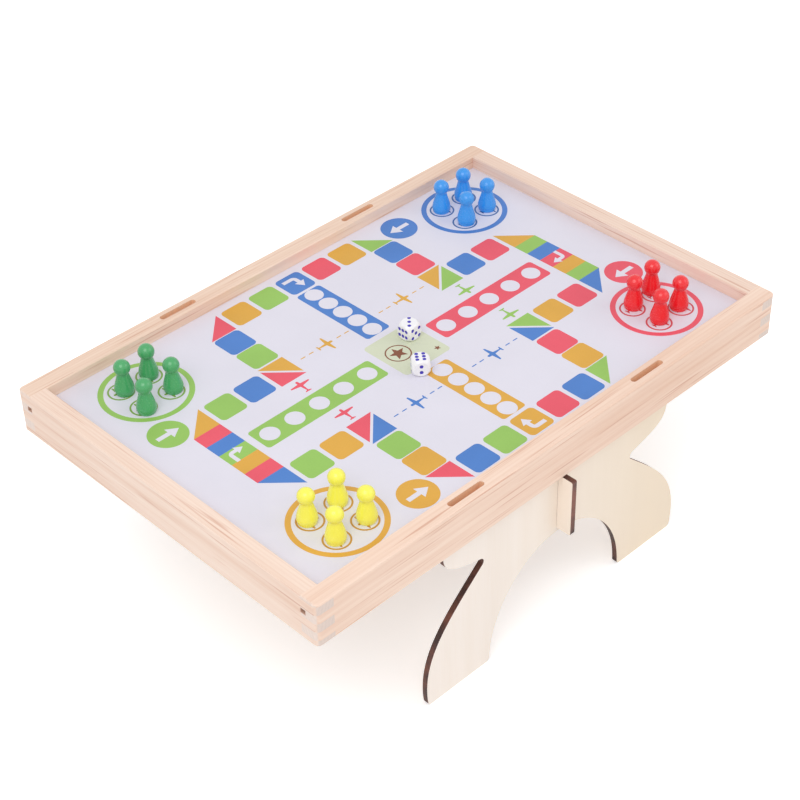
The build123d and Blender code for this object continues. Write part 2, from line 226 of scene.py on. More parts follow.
class ViewSettings(bpy.types.PropertyGroup):
    """Camera and light."""
    eye: bpy.props.FloatVectorProperty(name="Camera", description="Place of the camera", size=3,
                                       default=(-0.6694, -0.6974, 0.8649), subtype="TRANSLATION",
                                       unit="LENGTH")
    azimuth: angle_property("Azimuth", -43.53, "Where the camera stands round the object")
    elevation: angle_property("Elevation", 38.325, "How high the camera stands")
    roll: angle_property("Roll", -1.44, "Tilt of the camera about its own line of sight")
    lens: bpy.props.FloatProperty(name="Lens", description="Focal length on a 36 mm sensor",
                                  default=84.74, subtype="DISTANCE_CAMERA", unit="CAMERA")
    fill: bpy.props.FloatProperty(name="Fill light", description="Level light from all round",
                                  default=0.7, min=0, max=2)
    floor: colour_property("Floor", (246, 246, 246), "Pale floor")


class Finish:
    """A node material under construction, with short calls for the nodes it needs."""

    def __init__(self, name, roughness):
        self.material = bpy.data.materials.new(name)
        self.material.use_nodes = True
        self.tree = self.material.node_tree
        self.shader = self.tree.nodes["Principled BSDF"]
        self.shader.inputs["Roughness"].default_value = roughness

    def add(self, kind, inputs=(), **settings):
        """Adds a node, sets its options, and sets or links its inputs."""
        node = self.tree.nodes.new(kind)
        for option, value in settings.items():
            setattr(node, option, value)
        for socket, value in dict(inputs).items():
            if isinstance(value, bpy.types.NodeSocket):
                self.tree.links.new(value, node.inputs[socket])
            else:
                node.inputs[socket].default_value = value
        return node

    def place(self, scale=(1, 1, 1), shift=(0, 0, 0)):
        """Coordinates fixed to the object, stretched and shifted."""
        source = self.add("ShaderNodeTexCoord").outputs["Object"]
        return self.add("ShaderNodeMapping", {"Vector": source, "Scale": scale,
                                              "Location": shift}).outputs["Vector"]

    def cloud(self, scale, detail, roughness=0.5):
        """Soft noise between 0 and 1, with one scale for each axis."""
        return self.add("ShaderNodeTexNoise", {"Vector": self.place(scale), "Scale": 1.0, "Detail": detail,
                                               "Roughness": roughness}).outputs["Fac"]

    def sum(self, first, second, operation="ADD", clamp=False):
        """Two values put together by one sum."""
        return self.add("ShaderNodeMath", {0: first, 1: second}, operation=operation,
                        use_clamp=clamp).outputs[0]

    def spread(self, value, low, high, to_low=0.0, to_high=1.0):
        """A value from one range carried over to another, and held there."""
        return self.add("ShaderNodeMapRange", {"Value": value, "From Min": low, "From Max": high,
                                               "To Min": to_low, "To Max": to_high}).outputs["Result"]

    def mix(self, share, first, second):
        """One colour laid over another by a share."""
        sides = []
        for colour in (first, second):
            sides.append(colour if isinstance(colour, bpy.types.NodeSocket) else (*colour, 1))
        node = self.add("ShaderNodeMix", {0: share, 6: sides[0], 7: sides[1]}, data_type="RGBA")
        return node.outputs[2]

    def size_along(self, kind, axis):
        """The object's place or normal along one axis, without its sign."""
        where = self.add("ShaderNodeTexCoord").outputs[kind]
        part = self.add("ShaderNodeSeparateXYZ", {0: where}).outputs[AXES[axis]]
        return self.add("ShaderNodeMath", {0: part}, operation="ABSOLUTE").outputs[0]

    def between(self, axis, low, high):
        """1 where the distance from the middle along an axis lies between two values."""
        size = self.size_along("Object", axis)
        return self.sum(self.sum(size, low, "GREATER_THAN"), self.sum(size, high, "LESS_THAN"), "MULTIPLY")

    def in_box(self, reach_x, reach_y, reach_z):
        """1 inside a box, mirrored to all four corners of the board."""
        flat = self.sum(self.between("x", *reach_x), self.between("y", *reach_y), "MULTIPLY")
        return self.sum(flat, self.between("z", *reach_z), "MULTIPLY")

    def facing(self, axis):
        """1 where the surface faces along this axis of the object, and 0 where it doesn't."""
        return self.spread(self.size_along("Normal", axis), 0.6, 0.8)

    def colour(self, value):
        """Sends a colour to the shader."""
        self.tree.links.new(value, self.shader.inputs["Base Color"])

    def bump(self, height, strength, distance):
        """Sends a small relief to the shader."""
        node = self.add("ShaderNodeBump", {"Height": height, "Strength": strength, "Distance": distance})
        self.tree.links.new(node.outputs["Normal"], self.shader.inputs["Normal"])

    def vary_roughness(self, value, low, high):
        """Lets the roughness wander a little between two levels."""
        self.tree.links.new(self.spread(value, 0.3, 0.7, low, high), self.shader.inputs["Roughness"])


def toned(colour, tone):
    """A colour made darker or warmer, channel by channel."""
    return tuple(value * share for value, share in zip(colour, tone))


def dimmed(colour, share):
    """A colour made darker, all channels alike."""
    return tuple(value * share for value in colour)


def wave_scale(length):
    """Scale of a wave texture that comes back once in a length."""
    return 2 * math.pi / (20 * length)


def white_rays(tree):
    """1 for the rays that see the white background: the camera's, glossy ones and transmitted ones."""
    path = tree.nodes.new("ShaderNodeLightPath")
    seen = path.outputs["Is Camera Ray"]
    for ray in ("Is Glossy Ray", "Is Transmission Ray"):
        either = tree.nodes.new("ShaderNodeMath")
        either.operation = "MAXIMUM"
        tree.links.new(seen, either.inputs[0])
        tree.links.new(path.outputs[ray], either.inputs[1])
        seen = either.outputs[0]
    return seen


def stretched(axis, along, across):
    """A scale with one value along an axis and another across it."""
    scale = [across, across, across]
    scale[AXES[axis]] = along
    return tuple(scale)


def pine(name, axis, pith, side_tone_and_shade, end_tone):
    """Planed pine, its grain along an axis: growth lines round a far pith, fibres and end grain, with
    painted shade in the leg slots.
    """
    timber = bpy.context.scene.race_timber
    # The side tone darkens some rails as painted shade
    early, late_wood = toned(timber.pine_early, side_tone_and_shade), toned(timber.pine_late, side_tone_and_shade)
    end = toned(timber.pine_end, end_tone)
    finish = Finish(name, 0.5)
    drift = finish.cloud(stretched(axis, 2.2, 26), 2)
    wander = finish.add("ShaderNodeVectorMath", {0: finish.place(stretched(axis, 0.02, 1), pith),
                                                 1: finish.spread(drift, 0.2, 0.8, 0.0, 0.006)},
                        operation="ADD").outputs[0]
    ring_scale = wave_scale(timber.ring_spacing)
    rings = finish.add("ShaderNodeTexWave", {"Vector": wander, "Scale": ring_scale, "Distortion": 0.8,
                                             "Detail": 2.0, "Detail Scale": 0.4},
                       wave_type="RINGS", rings_direction=axis.upper(), wave_profile="SIN").outputs["Fac"]
    late = finish.spread(rings, 0.35, 1.0)
    fibre = finish.cloud(stretched(axis, 22, 900), 4, 0.6)
    streak = finish.cloud(stretched(axis, 4, 150), 3)
    patch = finish.cloud(stretched(axis, 5, 22), 2)
    share = finish.sum(finish.sum(late, 0.20, "MULTIPLY"), finish.spread(streak, 0.35, 0.75, 0, 0.45))
    share = finish.sum(share, finish.spread(fibre, 0.35, 0.7, -0.08, 0.14))
    share = finish.sum(share, finish.spread(patch, 0.4, 0.75, 0, 0.45), clamp=True)
    long_grain = finish.mix(share, early, late_wood)
    vein = finish.cloud(stretched(axis, 14, 620), 1)
    dark_vein = toned(late_wood, (0.82, 0.66, 0.6))
    long_grain = finish.mix(finish.spread(vein, 0.62, 0.74, 0, 0.75), long_grain, dark_vein)
    speckle = finish.cloud((700, 700, 700), 2)
    end_share = finish.sum(finish.spread(speckle, 0.4, 0.7, 0, 0.4), finish.sum(late, 0.35, "MULTIPLY"))
    end_grain = finish.mix(finish.sum(end_share, 0.6, "MULTIPLY", True), end, dimmed(end, 0.84))
    wood = finish.mix(finish.facing(axis), long_grain, end_grain)
    # Painted shade in the leg slots: their walls take the browner slot colour
    for reach_z in (SLOT_TOP_Z, SLOT_BOTTOM_Z):
        wood = finish.mix(finish.in_box(SLOT_X, SLOT_Y, reach_z), wood, timber.pine_cut)
    # The groove's ends at the rail ends take the darker groove colour
    finish.colour(finish.mix(finish.in_box(GROOVE_END_X, GROOVE_Y, GROOVE_Z), wood, timber.pine_burn))
    finish.vary_roughness(fibre, 0.46, 0.62)
    finish.bump(finish.sum(fibre, finish.sum(late, 0.5, "MULTIPLY")), 0.25, 0.0002)
    return finish.material


def laser_ply(name, axis):
    """Birch plywood: pale veneer on the faces across an axis, darkened towards +X as painted shade, and
    scorched plies on its edges.
    """
    timber = bpy.context.scene.race_timber
    finish = Finish(name, 0.58)
    figure = finish.cloud(stretched(PLY_GRAIN, 3.5, 60), 4, 0.55)
    fibre = finish.cloud(stretched(PLY_GRAIN, 40, 1100), 3, 0.6)
    flame = finish.cloud(stretched(PLY_GRAIN, 2, 9), 2)
    share = finish.sum(finish.spread(figure, 0.35, 0.75, 0, 0.5), finish.spread(fibre, 0.4, 0.7, 0, 0.2))
    where = finish.add("ShaderNodeTexCoord").outputs["Object"]
    along = finish.add("ShaderNodeSeparateXYZ", {0: where}).outputs[AXES["x"]]
    # Painted shade: the veneer turns darker and yellower towards +X
    veneer = finish.mix(finish.spread(along, *PLY_SHADE_X), timber.ply_face, timber.ply_face_shaded)
    streak = finish.mix(0.5, veneer, timber.ply_streak)
    share = finish.sum(share, finish.spread(flame, 0.4, 0.7, 0, 0.2), clamp=True)
    face = finish.mix(share, veneer, streak)
    soot = finish.cloud((45, 45, 45), 4, 0.65)
    plies = finish.add("ShaderNodeTexWave", {"Vector": finish.place(), "Scale": wave_scale(PLY_LAYER),
                                             "Distortion": 0.3}, wave_type="BANDS",
                       bands_direction=axis.upper(), wave_profile="SIN").outputs["Fac"]
    burn = finish.sum(finish.spread(soot, 0.42, 0.68, 0, 0.85), finish.sum(plies, 0.15, "MULTIPLY"),
                      clamp=True)
    edge = finish.mix(burn, timber.scorch, timber.scorch_brown)
    finish.colour(finish.mix(finish.facing(axis), edge, face))
    finish.vary_roughness(figure, 0.5, 0.66)
    finish.bump(finish.sum(fibre, finish.sum(soot, 0.3, "MULTIPLY")), 0.2, 0.00015)
    return finish.material


def fibre_board(name):
    """Pressed fibre board: warm brown flecks, smooth above and felted below."""
    finish = Finish(name, 0.7)
    fleck = finish.cloud((420, 420, 420), 5, 0.7)
    patch = finish.cloud((14, 14, 14), 2)
    board = finish.mix(finish.spread(fleck, 0.35, 0.7), srgb(205, 168, 128), srgb(164, 122, 84))
    finish.colour(finish.mix(finish.spread(patch, 0.4, 0.7, 0, 0.3), board, srgb(182, 140, 100)))
    finish.vary_roughness(fleck, 0.62, 0.8)
    finish.bump(fleck, 0.35, 0.0002)
    return finish.material


def printed(name, colour, depth=0.06):
    """Ink on satin paper: an even colour with a faint cloud, and the paper's fine tooth."""
    finish = Finish(name, 0.42)
    finish.shader.inputs["Specular IOR Level"].default_value = 0.35
    cloud = finish.cloud((26, 26, 26), 3)
    tooth = finish.cloud((1500, 1500, 1500), 3, 0.6)
    deeper = dimmed(colour, 1 - 2 * depth)
    share = finish.sum(finish.spread(cloud, 0.35, 0.7, 0, 0.7), finish.spread(tooth, 0.35, 0.7, 0, 0.3))
    finish.colour(finish.mix(share, colour, deeper))
    finish.vary_roughness(tooth, 0.38, 0.5)
    finish.bump(tooth, 0.08, 0.00005)
    return finish.material


def lacquer(name, colour):
    """Glossy coloured lacquer on a turned pawn, a little uneven round the turning."""
    finish = Finish(name, 0.24)
    finish.shader.inputs["Coat Weight"].default_value = 0.35
    finish.shader.inputs["Coat Roughness"].default_value = 0.08
    ripple = finish.cloud((120, 120, 90), 2)
    speck = finish.cloud((900, 900, 900), 2)
    finish.colour(finish.mix(finish.spread(ripple, 0.35, 0.7, 0, 0.3), colour, dimmed(colour, 0.85)))
    finish.vary_roughness(speck, 0.2, 0.3)
    finish.bump(ripple, 0.08, 0.0002)
    return finish.material


def die_plastic(name, colour, roughness):
    """Cast plastic of a die, or the paint in its pips, with a faint milky cloud."""
    finish = Finish(name, roughness)
    cloud = finish.cloud((160, 160, 160), 3)
    finish.colour(finish.mix(finish.spread(cloud, 0.35, 0.7, 0, 0.6), colour, dimmed(colour, 0.92)))
    finish.vary_roughness(cloud, roughness - 0.05, roughness + 0.08)
    finish.bump(cloud, 0.05, 0.0001)
    return finish.material


def closed_mesh(name, build):
    """Turns a closed build into a mesh whose faces look outward."""
    bmesh.ops.recalc_face_normals(build, faces=build.faces)
    mesh = bpy.data.meshes.new(name)
    build.to_mesh(mesh)
    build.free()
    return mesh


def link_mesh(name, mesh, finishes):
    """Puts a mesh in the scene as one piece with its finishes."""
    piece = bpy.data.objects.new(name, mesh)
    bpy.context.scene.collection.objects.link(piece)
    for finish in finishes:
        mesh.materials.append(finish)
    return piece


def dress_node(name, finish):
    """Gives a carried-over node its finish."""
    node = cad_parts[name]
    node.data.materials.clear()
    node.data.materials.append(finish)


def arc_points(centre, radius, start, end, steps):
    """Points on an arc between two angles in degrees, both ends included."""
    points = []
    for step in range(steps + 1):
        angle = math.radians(start + (end - start) * step / steps)
        points.append((centre[0] + radius * math.cos(angle), centre[1] + radius * math.sin(angle)))
    return points


def disc(centre, radius, steps=64):
    """Outline of a disc."""
    return arc_points(centre, radius, 0, 360, steps)[:-1]


def rounded_box(centre, width, height, corner, steps=7):
    """Outline of a rectangle with round corners."""
    across, up = width / 2 - corner, height / 2 - corner
    points = []
    for sign_x, sign_y, start in ((1, 1, 0), (-1, 1, 90), (-1, -1, 180), (1, -1, 270)):
        middle = (centre[0] + sign_x * across, centre[1] + sign_y * up)
        points += arc_points(middle, corner, start, start + 90, steps)
    return points


def corner_triangle(corner, leg_x, leg_y):
    """Outline of a right triangle by its square corner and its two signed legs."""
    x, y = corner
    points = [(x, y), (x + leg_x, y), (x, y + leg_y)]
    return points if leg_x * leg_y > 0 else points[::-1]


def turned_about(points, degrees, centre):
    """Points turned about the origin, then moved to a centre."""
    angle = math.radians(degrees)
    c, s = math.cos(angle), math.sin(angle)
    return [(centre[0] + x * c - y * s, centre[1] + x * s + y * c) for x, y in points]


def aeroplane(length):
    """Outline of a plain little aeroplane with its nose along +X."""
    half = [(0.50, 0.0), (0.45, 0.07), (0.27, 0.085), (0.235, 0.56), (0.19, 0.59), (0.145, 0.56),
            (0.05, 0.085), (-0.36, 0.035), (-0.42, 0.17), (-0.48, 0.17), (-0.46, 0.03), (-0.5, 0.0)]
    other = [(x, -y) for x, y in reversed(half[1:-1])]
    return [(x * length, y * length) for x, y in half + other]


def bent_arrow(size):
    """Outline of an arrow that runs up and then turns to point along +X."""
    stem_x, top_y, half, bend = -0.36, 0.22, 0.11, 0.17
    outer = arc_points((stem_x + bend, top_y - bend), bend + half, 180, 90, 8)
    inner = arc_points((stem_x + bend, top_y - bend), bend - half, 90, 180, 8)
    head = [(0.04, top_y + half), (0.04, top_y + 0.28), (0.46, top_y), (0.04, top_y - 0.28),
            (0.04, top_y - half)]
    points = [(stem_x - half, -0.48)] + outer + head + inner + [(stem_x + half, -0.48)]
    return [(x * size, y * size) for x, y in reversed(points)]


def straight_arrow(length):
    """Outline of a plain arrow along +X."""
    half = [(-0.5, 0.1), (0.06, 0.1), (0.06, 0.3), (0.5, 0.0)]
    other = [(x, -y) for x, y in reversed(half[:-1])]
    return [(x * length, y * length) for x, y in reversed(half + other)]


def star(centre, outer, inner, points=5):
    """Outline of a star with one point along +Y."""
    outline = []
    for step in range(2 * points):
        radius = outer if step % 2 == 0 else inner
        angle = math.pi / 2 + math.pi * step / points
        outline.append((centre[0] + radius * math.cos(angle), centre[1] + radius * math.sin(angle)))
    return outline


def on_tray(point):
    """A place on the print, carried to the tray that the print lies in."""
    layout = bpy.context.scene.race_print
    c, s = math.cos(layout.turn), math.sin(layout.turn)
    x, y = point
    return layout.shift_x + x * c - y * s, layout.shift_y + x * s + y * c


def ink_piece(name, shapes, layer, finish):
    """One printed colour as thin closed plates. A shape is an outline, or a ring of two outlines."""
    ink = bpy.context.scene.race_print.ink
    low, high = SHEET_TOP - ink / 2, SHEET_TOP + layer * ink
    build = bmesh.new()
    for shape in shapes:
        loops = shape if isinstance(shape[0], list) else [shape]
        walls = []
        for outline in loops:
            spots = [on_tray(point) for point in outline]
            below = [build.verts.new((x, y, low)) for x, y in spots]
            above = [build.verts.new((x, y, high)) for x, y in spots]
            walls.append((below, above))
        for below, above in walls:
            for step in range(len(below)):
                after = (step + 1) % len(below)
                build.faces.new((below[step], below[after], above[after], above[step]))
        if len(walls) == 1:
            build.faces.new(walls[0][1])
            build.faces.new(reversed(walls[0][0]))
        else:
            for side in (0, 1):
                outer, inner = walls[0][side], walls[1][side]
                for step in range(len(outer)):
                    after = (step + 1) % len(outer)
                    build.faces.new((outer[step], outer[after], inner[after], inner[step]))
    piece = link_mesh(name, closed_mesh(name, build), [finish])
    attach(piece, "board")


def track_fields():
    """Every field of the race track and the home lanes, by colour, in metres on the print."""
    layout = bpy.context.scene.race_print
    px, py, cell = layout.pitch_x, layout.pitch_y, layout.cell
    fields = {"blue": [], "red": [], "orange": [], "green": []}

    def square(colour, x, y):
        fields[colour].append(rounded_box((x, y), cell, cell, layout.cell_corner))

    rows = ((5 * py, ("orange", "green", "blue", "red", "orange")),
            (-5 * py, ("blue", "green", "orange", "red", "blue")))
    for y, colours in rows:
        for place, colour in zip(range(-2, 3), colours):
            square(colour, place * px, y)
    for side, up, colours in QUARTERS:
        for place, colour in zip((4, 3), colours):
            square(colour, side * 3 * px, up * place * py)
    for side, up, colours in QUARTERS:
        for place, colour in zip((4, 5), colours):
            square(colour, side * place * px, up * layout.arm_y)

    half = cell / 2
    corners = ((-1, 1, "red"), (1, 1, "green"), (-1, -1, "red"), (1, -1, "green"))
    for side, up, colour in corners:
        inner = (side * (3 * px - half), up * (5 * py - half))
        fields[colour].append(corner_triangle(inner, side * cell, up * cell))
        outer_arm = (side * (3 * px + half), up * (layout.arm_y - half))
        fields[colour].append(corner_triangle(outer_arm, -side * cell, up * cell))
    for side in (-1, 1):
        for up, colour in ((1, "orange"), (-1, "blue")):
            inner_column = (side * (3 * px - half), up * layout.inner_pair)
            fields[colour].append(corner_triangle(inner_column, side * cell, -up * cell))
            strip_end = (side * (6 * px - half), up * (layout.arm_y - half))
            fields[colour].append(corner_triangle(strip_end, side * cell, up * cell))

    strip = 2 * (layout.arm_y - half)
    bars = ((-1, ("red", "blue", "green", "orange", "red")),
            (1, ("green", "blue", "red", "orange", "green")))
    for side, colours in bars:
        for place, colour in zip((2, 1, 0, -1, -2), colours):
            bar = rounded_box((side * 6 * px, place * strip / 5), cell, strip / 5, 0.1 * MM, 1)
            fields[colour].append(bar)

    for colour, (middle, length, _) in LANES.items():
        along, across = length, layout.lane_width
        if middle[0] == LANE_LINE:
            along, across = across, along
        fields[colour].append(rounded_box(middle, along, across, layout.lane_corner))
    return fields


def white_marks():
    """White circles of the lanes, the bent arrows, and the arrows in the start discs."""
    layout = bpy.context.scene.race_print
    marks = []
    for middle, _, pitch in LANES.values():
        for place in range(CIRCLES_PER_LANE):
            step = (place - (CIRCLES_PER_LANE - 1) / 2) * pitch
            across = middle[0] == LANE_LINE
            spot = (middle[0], middle[1] + step) if across else (middle[0] + step, middle[1])
            marks.append(disc(spot, layout.lane_hole))
    arrows = ((-6 * layout.pitch_x, 0, 0, END_ARROW), (6 * layout.pitch_x, 0, 180, END_ARROW),
              (0, 5 * layout.pitch_y, -90, SIDE_ARROW), (0, -5 * layout.pitch_y, 90, SIDE_ARROW))
    for x, y, turn, size in arrows:
        marks.append(turned_about(bent_arrow(size), turn, (x, y)))
    for x, y, _, turn in start_discs():
        marks.append(turned_about(straight_arrow(1.3 * layout.start_radius), turn, (x, y)))
    return marks


def start_discs():
    """Middle, colour and arrow direction of each start disc."""
    return ((-END_DISC[0], END_DISC[1], "green", 0), (END_DISC[0], -END_DISC[1], "red", 180),
            (SIDE_DISC[0], SIDE_DISC[1], "blue", 180), (-SIDE_DISC[0], -SIDE_DISC[1], "orange", 0))


def flight_marks(colour):
    """The little aeroplanes that are printed in one colour, some with dashes before and behind."""
    shapes = []
    if colour in FLIGHTS:
        up, turn = FLIGHTS[colour]
        for side in (-1, 1):
            middle = (FLIGHT_MIDDLE + side * FLIGHT_REACH, up)
            shapes.append(turned_about(aeroplane(FLIGHT_PLANE), turn, middle))
            for offset in FLIGHT_DASHES:
                dash = (middle[0] + side * offset, middle[1])
                shapes.append(rounded_box(dash, DASH_LENGTH, DASH_WIDTH, DASH_CORNER, 2))
    if colour in CLIMBS:
        side, turn = CLIMBS[colour]
        for up in (-1, 1):
            middle = (side * CLIMB_PLACE[0], up * CLIMB_PLACE[1])
            shapes.append(turned_about(aeroplane(FLIGHT_PLANE), turn, middle))
    return shapes


def ring(centre, radius, line):
    """A printed ring as its outer and inner outline."""
    return [disc(centre, radius), disc(centre, radius - line)]


def small_rings(colour):
    """The four small rings of a home, each with a little aeroplane in it."""
    layout = bpy.context.scene.race_print
    side, up = HOME_CORNERS[colour]
    shapes = []
    for x in (-1, 1):
        for y in (-1, 1):
            middle = (side * layout.home_x + x * layout.spot_offset,
                      up * layout.home_y + y * layout.spot_offset)
            shapes.append(ring(middle, layout.spot_radius, layout.spot_line))
            shapes.append(turned_about(aeroplane(SPOT_PLANE), 90 - 90 * side, middle))
    return shapes


def smooth_curve(value):
    """A step from 0 to 1 that starts and ends softly."""
    value = max(0.0, min(1.0, value))
    return value * value * (3 - 2 * value)


def pawn_profile(height):
    """Radii and heights up a pawn: soft foot, belly, and a waist that runs softly into the ball head."""
    form = bpy.context.scene.race_pawns
    profile = [(0.0, 0.0), (form.foot_radius - FOOT_LIP, 0.0)]
    for radius, rise in arc_points((form.foot_radius - FOOT_LIP, FOOT_LIP), FOOT_LIP, -60, 0, 3):
        profile.append((radius, rise))
    steps = 6
    for step in range(1, steps + 1):
        along = step / steps
        swell = math.sin(along * math.pi / 2)
        radius = form.foot_radius + (form.belly_radius - form.foot_radius) * swell
        profile.append((radius, FOOT_LIP + (form.belly_height - FOOT_LIP) * along))
    steps = 18
    centre = height - form.head_radius
    for step in range(1, steps + 1):
        rise = form.belly_height + (centre - form.belly_height) * step / steps
        along = (rise - form.belly_height) / (form.neck_height - form.belly_height)
        drawn_in = (smooth_curve(along) + min(along, 1.0)) / 2
        body = form.belly_radius - (form.belly_radius - form.neck_radius) * drawn_in
        ball = math.sqrt(max(0.0, form.head_radius ** 2 - (rise - centre) ** 2))
        near = max(form.collar - abs(body - ball), 0.0)
        profile.append((max(body, ball) + near * near / (4 * form.collar), rise))
    profile += arc_points((0, centre), form.head_radius, 6, 84, 12)
    profile.append((0.0, height))
    return profile


def turned_mesh(name, profile, sides=PAWN_SIDES):
    """A smooth turned mesh from a profile that starts and ends on the axis."""
    build = bmesh.new()
    rows = []
    for radius, rise in profile:
        if radius == 0:
            rows.append([build.verts.new((0, 0, rise))])
            continue
        rows.append([build.verts.new((radius * math.cos(2 * math.pi * side / sides),
                                      radius * math.sin(2 * math.pi * side / sides), rise))
                     for side in range(sides)])
    for lower, upper in zip(rows, rows[1:]):
        for side in range(sides):
            after = (side + 1) % sides
            if len(lower) == 1:
                build.faces.new((lower[0], upper[after], upper[side]))
            elif len(upper) == 1:
                build.faces.new((lower[side], lower[after], upper[0]))
            else:
                build.faces.new((lower[side], lower[after], upper[after], upper[side]))
    mesh = closed_mesh(name, build)
    mesh.shade_smooth()
    return mesh


PIP_LAYOUTS = {
    1: ((0, 0),),
    2: ((0, -0.74), (0, 0.74)),
    3: ((-1, -1), (0, 0), (1, 1)),
    4: ((-1, -1), (-1, 1), (1, -1), (1, 1)),
    5: ((-1, -1), (-1, 1), (1, -1), (1, 1), (0, 0)),
    6: tuple((x, y) for x in (-0.75, 0.75) for y in (-1, 0, 1)),
}
DIE_FACES = {       # the direction of a face, and of its own x axis
    "top": ((0, 0, 1), (1, 0, 0)),
    "bottom": ((0, 0, -1), (1, 0, 0)),
    "front": ((0, -1, 0), (1, 0, 0)),
    "back": ((0, 1, 0), (-1, 0, 0)),
    "left": ((-1, 0, 0), (0, 0, 1)),
    "right": ((1, 0, 0), (0, 0, -1)),
}
DICE = (
    ("die_1", 1.5, {"top": 3, "left": 6, "front": 5, "bottom": 4, "right": 1, "back": 2}),
    ("die_2", -37.6, {"top": 6, "front": 2, "back": 5, "bottom": 1, "left": 3, "right": 4}),
)


def rounded_cube_point(point, half, edge, ball):
    """A point on a cube's face carried onto the rounded die."""
    core = Vector([max(-half + edge, min(half - edge, value)) for value in point])
    away = point - core
    rounded = core + away.normalized() * edge if away.length > 0 else point
    if rounded.length > ball:
        rounded = rounded.normalized() * ball
    return rounded


def die_mesh(name, size, numbers):
    """A die with soft edges, ball-rounded corners and dished pips, which take the second finish."""
    form = bpy.context.scene.race_dice
    half, cells = size / 2, DIE_CELLS
    step = size / cells
    build = bmesh.new()
    painted = []
    for face, (out, right) in DIE_FACES.items():
        out, right = Vector(out), Vector(right)
        up = out.cross(right)
        pips = [(form.pip_pitch * x, form.pip_pitch * y) for x, y in PIP_LAYOUTS[numbers[face]]]
        grid, flat = [], []
        for row in range(cells + 1):
            grid.append([])
            flat.append([])
            for column in range(cells + 1):
                u, v, dip = -half + column * step, -half + row * step, 0.0
                for x, y in pips:
                    away = math.hypot(u - x, v - y)
                    if abs(away - form.pip_radius) < step / 2:
                        u, v = x + (u - x) * form.pip_radius / away, y + (v - y) * form.pip_radius / away
                        away = form.pip_radius
                    if away < form.pip_radius:
                        dip = form.pip_depth * math.sqrt(1 - (away / form.pip_radius) ** 2)
                place = rounded_cube_point(out * half + right * u + up * v, half, form.edge_radius,
                                           form.ball_radius)
                grid[-1].append(build.verts.new(place - out * dip))
                flat[-1].append((u, v))
        for row in range(cells):
            for column in range(cells):
                corners = ((row, column), (row, column + 1), (row + 1, column + 1), (row + 1, column))
                made = build.faces.new([grid[r][c] for r, c in corners])
                u = sum(flat[r][c][0] for r, c in corners) / 4
                v = sum(flat[r][c][1] for r, c in corners) / 4
                if any(math.hypot(u - x, v - y) < form.pip_radius for x, y in pips):
                    painted.append(made)
    for made in painted:
        made.material_index = 1
    bmesh.ops.remove_doubles(build, verts=build.verts, dist=step / 50)
    mesh = closed_mesh(name, build)
    mesh.shade_smooth()
    return mesh


class RACE_OT_rails(bpy.types.Operator):
    """Finish the four finger-jointed pine rails, each with the grain along its own length"""
    bl_idname = "race.rails"
    bl_label = "Pine rails"

    def execute(self, context):
        for name, timber in RAIL_TIMBER.items():
            dress_node(name, pine(f"pine_{name}", *timber))
        return {"FINISHED"}


class RACE_OT_stand(bpy.types.Operator):
    """Finish the two leg panels and the stretcher in laser-cut birch plywood"""
    bl_idname = "race.stand"
    bl_label = "Plywood stand"

    def execute(self, context):
        for name in LEG_PANELS:
            dress_node(name, laser_ply(f"birch_{name}", "y"))
        dress_node("cross_stretcher", laser_ply("birch_cross_stretcher", "x"))
        return {"FINISHED"}


class RACE_OT_panel(bpy.types.Operator):
    """Finish the play panel and the paper of the printed sheet"""
    bl_idname = "race.panel"
    bl_label = "Panel and paper"

    def execute(self, context):
        dress_node("play_panel", fibre_board("fibre_board"))
        dress_node("printed_sheet", printed("satin_paper", context.scene.race_print.paper, 0.02))
        return {"FINISHED"}


class RACE_OT_track(bpy.types.Operator):
    """Print the race track: the coloured fields, home lanes, aeroplanes and start discs"""
    bl_idname = "race.track"
    bl_label = "Race track"

    def execute(self, context):
        layout = context.scene.race_print
        fields = track_fields()
        for x, y, colour, _ in start_discs():
            fields[colour].append(disc((x, y), layout.start_radius))
        for colour, shapes in fields.items():
            side, up = HOME_CORNERS[colour]
            middle = (side * layout.home_x, up * layout.home_y)
            home = ring(middle, layout.home_radius, layout.home_line)
            every_shape = shapes + flight_marks(colour) + [home]
            ink_piece(f"track_{colour}", every_shape, 1, printed(f"ink_{colour}", getattr(layout, colour)))
        return {"FINISHED"}


class RACE_OT_marks(bpy.types.Operator):
    """Print the white circles and arrows, and the dark rings that the pawns stand in"""
    bl_idname = "race.marks"
    bl_label = "White marks and pawn rings"

    def execute(self, context):
        layout = context.scene.race_print
        ink_piece("white_marks", white_marks(), 2, printed("ink_white", layout.paper, 0.02))
        for colour in HOME_CORNERS:
            shade = toned(getattr(layout, colour), RING_TONE)
            finish = printed(f"ink_dark_{colour}", shade)
            ink_piece(f"pawn_rings_{colour}", small_rings(colour), 1, finish)
        return {"FINISHED"}


class RACE_OT_centre(bpy.types.Operator):
    """Print the pale field in the middle of the board and its plain star ornament"""
    bl_idname = "race.centre"
    bl_label = "Centre field"

    def execute(self, context):
        layout = context.scene.race_print
        field = [rounded_box(CENTRE_MIDDLE, CENTRE_SIDE, CENTRE_SIDE, CENTRE_CORNER)]
        ink_piece("centre_field", field, 1, printed("ink_centre", layout.centre, 0.05))
        ornament = [star(STAR_MIDDLE, STAR_OUTER, STAR_INNER),
                    ring(STAR_MIDDLE, STAR_RING, STAR_RING_LINE)]
        for up in (-1, 1):
            place = (SMALL_STAR_PLACE[0], up * SMALL_STAR_PLACE[1])
            ornament.append(star(place, SMALL_STAR_OUTER, SMALL_STAR_INNER))
        ink_piece("centre_star", ornament, 2, printed("ink_brown", layout.brown))
        return {"FINISHED"}


